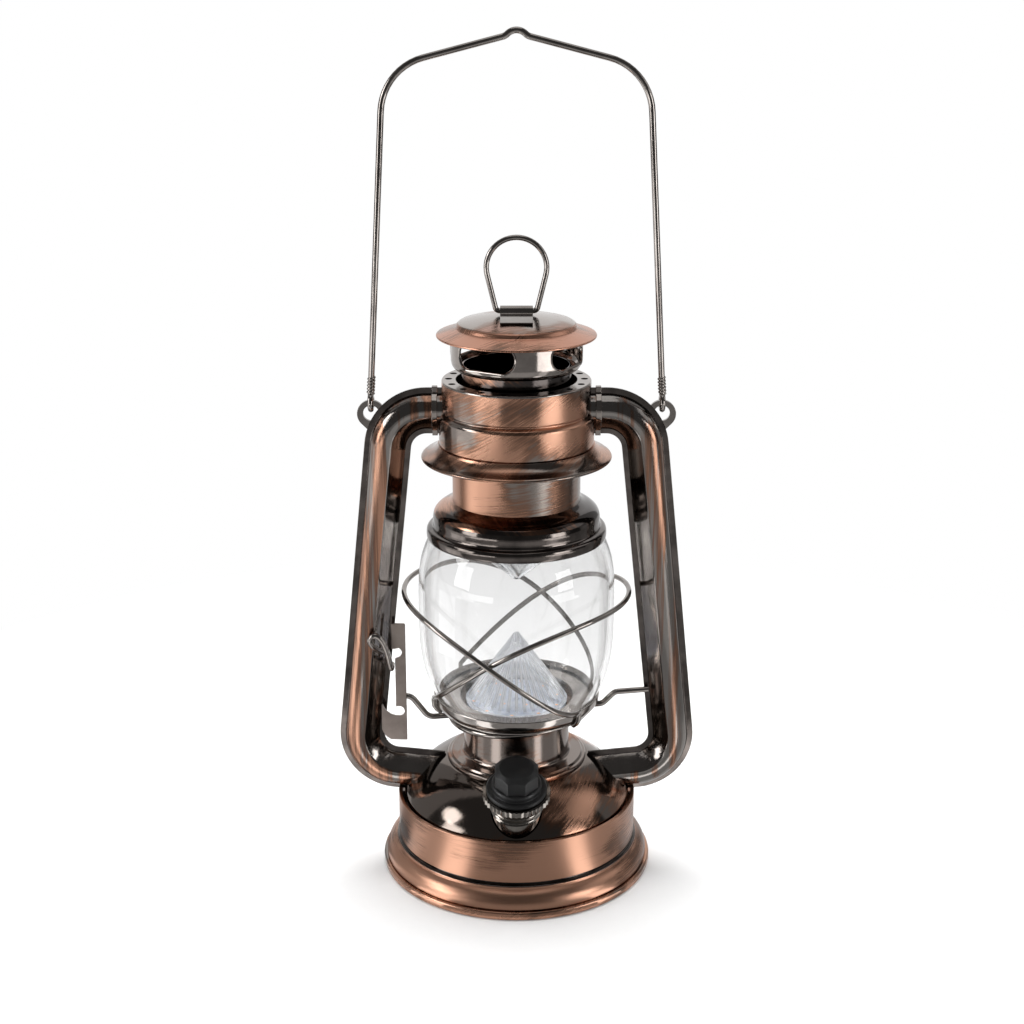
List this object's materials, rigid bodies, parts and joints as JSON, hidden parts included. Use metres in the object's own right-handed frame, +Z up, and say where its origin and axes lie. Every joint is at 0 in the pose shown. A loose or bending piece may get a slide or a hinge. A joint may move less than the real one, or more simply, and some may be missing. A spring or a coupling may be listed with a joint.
{
  "type": "led lantern",
  "caption": "Hurricane-style LED lantern with a flared battery tank, side tubes, lifting glass globe and chimney, wire bail and dimmer knob.",
  "frame": {"origin": "centre of the foot, on the surface that the lantern stands on", "axes": "+Z up along the lantern's axis, -Y to the front with the knob, +X to the right seen from the front"},
  "size_m": [0.1506, 0.115, 0.3484],
  "materials": {
    "antique": "antique copper plating, dark and polished with brushed copper patches",
    "gunmetal": "polished black nickel plating",
    "copper": "brushed copper plating",
    "dark_wire": "dark chrome wire",
    "steel": "plain steel",
    "contact": "nickel plated spring steel",
    "glass": "clear blown glass",
    "clear": "clear moulded lens plastic",
    "black_plastic": "black moulded plastic",
    "white_board": "white solder mask",
    "led": "yellow phosphor",
    "cell": "printed sleeve, plain",
    "lead_red": "red insulation",
    "lead_black": "black insulation",
    "brass": "plain brass"
  },
  "bodies": {
    "frame": {"base_plate": "antique", "tank_wall": "antique", "tank_dome": "antique", "battery_box": "black_plastic", "battery_cells": "cell", "contact_springs": "contact", "contact_plates": "contact", "door_pin": "steel", "base_screws": "steel", "neck_collar": "antique", "led_holder": "black_plastic", "led_board": "white_board", "led_chips": "led", "light_cone": "clear", "lead_red": "lead_red", "lead_black": "lead_black", "filler_neck": "gunmetal", "knurled_ring": "gunmetal", "dimmer_body": "steel", "dimmer_nut": "brass", "tube_front_left": "antique", "tube_rear_left": "antique", "tube_front_right": "antique", "tube_rear_right": "antique", "tube_ferrules": "gunmetal", "ear_left": "gunmetal", "ear_right": "gunmetal", "latch_hook": "dark_wire", "crown_body": "copper", "crown_ledge": "gunmetal", "crown_skirt": "antique"},
    "globe_carrier": {"gallery": "gunmetal", "globe": "glass", "guard_left": "dark_wire", "guard_right": "dark_wire"},
    "lever": {"lift_lever": "dark_wire", "latch_plate": "gunmetal"},
    "chimney": {"hood": "gunmetal", "chimney_tube": "antique", "draught_tube": "gunmetal", "top_reflector": "clear", "vent_collar": "gunmetal", "canopy": "copper", "ring_strap": "gunmetal"},
    "ring": {"lift_ring": "dark_wire"},
    "bail": {"bail": "dark_wire"},
    "knob": {"knob": "black_plastic", "dimmer_shaft": "steel"},
    "door": {"battery_door": "black_plastic"}
  },
  "joints": [
    {"name": "globe_lift", "type": "slide", "parent": "frame", "child": "globe_carrier", "axis": [0, 0, 1], "range_m": [0, 0.0072]},
    {"name": "lever_swing", "type": "hinge", "parent": "frame", "child": "lever", "pos_m": [0.0516, 0, 0.0781], "axis": [0, 1, 0], "range_deg": [0, 7.95]},
    {"name": "chimney_lift", "type": "slide", "parent": "globe_carrier", "child": "chimney", "axis": [0, 0, 1], "range_m": [0, 0.008]},
    {"name": "ring_fold", "type": "hinge", "parent": "chimney", "child": "ring", "pos_m": [0, 0, 0.2399], "axis": [1, 0, 0], "range_deg": [-85, 85]},
    {"name": "bail_swing", "type": "hinge", "parent": "frame", "child": "bail", "pos_m": [0, 0, 0.2026], "axis": [1, 0, 0], "range_deg": [-130, 130]},
    {"name": "dimmer_turn", "type": "hinge", "parent": "frame", "child": "knob", "pos_m": [0, -0.0418, 0.05], "axis": [0, -0.2756, 0.9613], "range_deg": [0, 270]},
    {"name": "door_hinge", "type": "hinge", "parent": "frame", "child": "door", "pos_m": [0, 0.0329, 0.00405], "axis": [1, 0, 0], "range_deg": [0, 95]}
  ],
  "couplings": [
    {"joint": "lever_swing", "follows": "globe_lift", "rad_per_m": 19.2}
  ]
}
